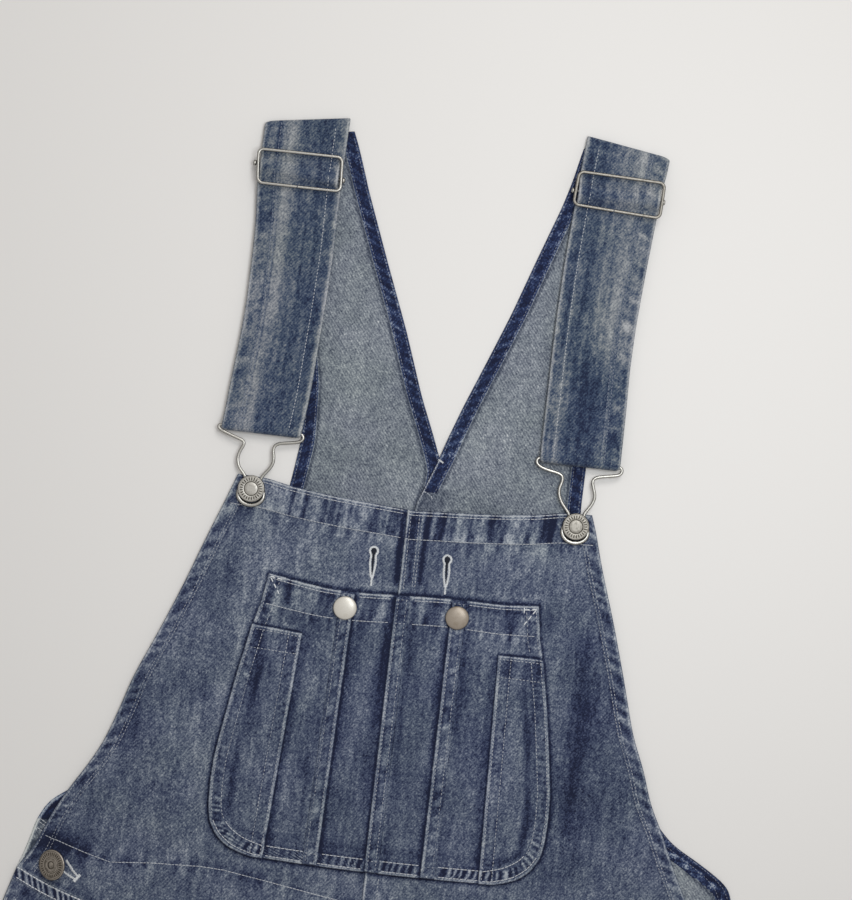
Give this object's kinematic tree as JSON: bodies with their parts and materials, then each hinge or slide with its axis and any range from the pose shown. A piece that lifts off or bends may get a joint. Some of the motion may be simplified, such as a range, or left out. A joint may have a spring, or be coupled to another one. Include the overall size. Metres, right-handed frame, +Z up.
{
  "type": "denim bib dungarees",
  "caption": "Adult denim bib dungarees laid flat, inside of the back up: pocketed bib, folded straps with wire sliders, wire hooks over shank buttons, side-buttoned waist, straight legs",
  "frame": {"origin": "centre of the bounding box in plan, on the surface that the garment lies on", "axes": "+X to the viewer's right across the garment, +Y along it from hem to straps, +Z up from the surface"},
  "size_m": [0.583, 1.4728, 0.0126],
  "materials": {
    "denim_face": "washed indigo denim, face out, cotton twill",
    "denim_wrong": "washed denim, wrong side out, pale weft twill",
    "strap_denim": "washed denim, two plies, face out",
    "nickel_wire": "nickel-plated round wire",
    "nickel_button": "stamped and plated, worn",
    "antique_brass": "antique brass plate, worn",
    "snap_ivory": "satin cap, ivory",
    "snap_beige": "satin cap, beige"
  },
  "bodies": {
    "root": {"back_left": "denim_wrong", "back_right": "denim_wrong", "back_leg_left": "denim_face", "back_leg_right": "denim_face", "front_leg_left": "denim_face", "front_leg_right": "denim_face", "bib_front_left": "denim_face", "bib_front_right": "denim_face", "chest_pocket": "denim_face", "pocket_strip_a": "denim_face", "pocket_strip_b": "denim_face", "pocket_strip_c": "denim_face", "small_pocket_left": "denim_face", "small_pocket_right": "denim_face", "strap_left": "strap_denim", "strap_right": "strap_denim", "slider_frame_left": "nickel_wire", "slider_frame_right": "nickel_wire", "slider_bar_left": "nickel_wire", "slider_bar_right": "nickel_wire", "hook_left": "nickel_wire", "hook_right": "nickel_wire", "bib_button_left": "nickel_button", "bib_button_right": "nickel_button", "side_button_left": "antique_brass", "side_button_right": "antique_brass", "snap_left": "snap_ivory", "snap_right": "snap_beige"}
  },
  "joints": []
}
